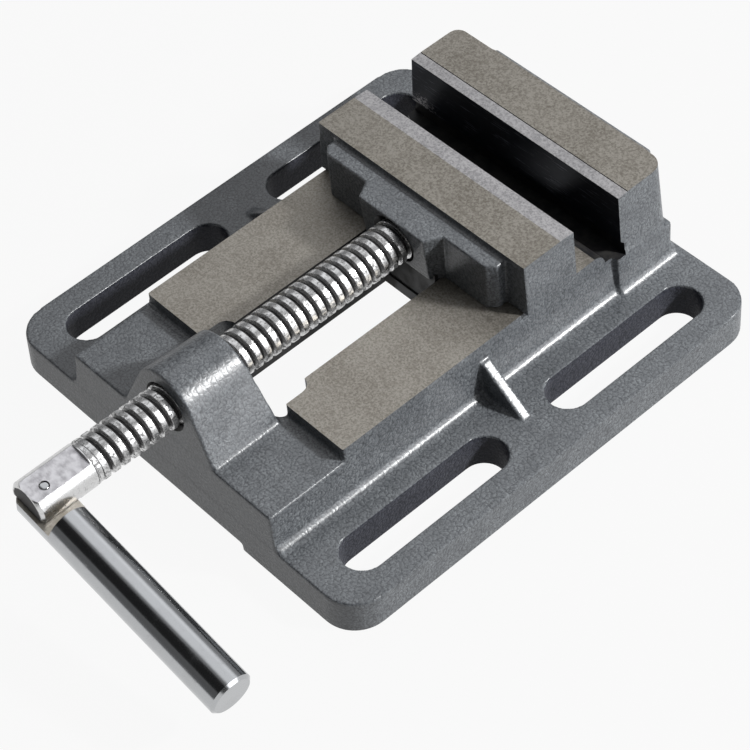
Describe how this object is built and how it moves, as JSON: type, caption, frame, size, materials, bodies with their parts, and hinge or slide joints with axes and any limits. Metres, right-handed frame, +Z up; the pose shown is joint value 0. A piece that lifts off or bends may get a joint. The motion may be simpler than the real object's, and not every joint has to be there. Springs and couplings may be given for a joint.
{
  "type": "drill press vise",
  "caption": "Low drill press vise with a slotted cast base, a screw-driven sliding jaw on ground rails and a folding crank handle.",
  "frame": {"origin": "underside of the base, at mid width, in the plane of the fixed jaw's gripping face", "axes": "+X across the base to the right as seen from the handle, +Y from the handle to the fixed jaw along the lead screw, +Z up"},
  "size_m": [0.1772, 0.2431, 0.0557],
  "materials": {
    "painted_casting": "hammered grey enamel, ground bare on the rails and the tops of the jaws",
    "zinc_plated_steel": "bright zinc plate",
    "bright_steel": "bright plated",
    "dark_steel": "dark rolled steel"
  },
  "bodies": {
    "base": {"base_casting": "painted_casting"},
    "jaw": {"moving_jaw": "painted_casting", "keeper_plate": "dark_steel", "keeper_screw_1": "zinc_plated_steel", "keeper_screw_2": "zinc_plated_steel", "keeper_screw_3": "zinc_plated_steel", "keeper_screw_4": "zinc_plated_steel", "keeper_washer_1": "zinc_plated_steel", "keeper_washer_2": "zinc_plated_steel", "keeper_washer_3": "zinc_plated_steel", "keeper_washer_4": "zinc_plated_steel", "retaining_pin_left": "bright_steel", "retaining_pin_right": "bright_steel"},
    "screw": {"lead_screw": "zinc_plated_steel", "handle_pin": "bright_steel"},
    "handle": {"handle_bar": "bright_steel"}
  },
  "joints": [
    {"name": "jaw_slide", "type": "slide", "parent": "base", "child": "jaw", "axis": [0, 1, 0], "range_m": [-0.07, 0.0209]},
    {"name": "screw_turn", "type": "hinge", "parent": "jaw", "child": "screw", "pos_m": [0, -0.04915, 0.0423], "axis": [0, 1, 0], "range_deg": [-6302, 1882]},
    {"name": "handle_fold", "type": "hinge", "parent": "screw", "child": "handle", "pos_m": [0.00038, -0.20665, 0.03775], "axis": [-0.1822, 0, -0.9833], "range_deg": [0, 180]}
  ],
  "couplings": [
    {"joint": "screw_turn", "follows": "jaw_slide", "rad_per_m": 1570.8}
  ]
}
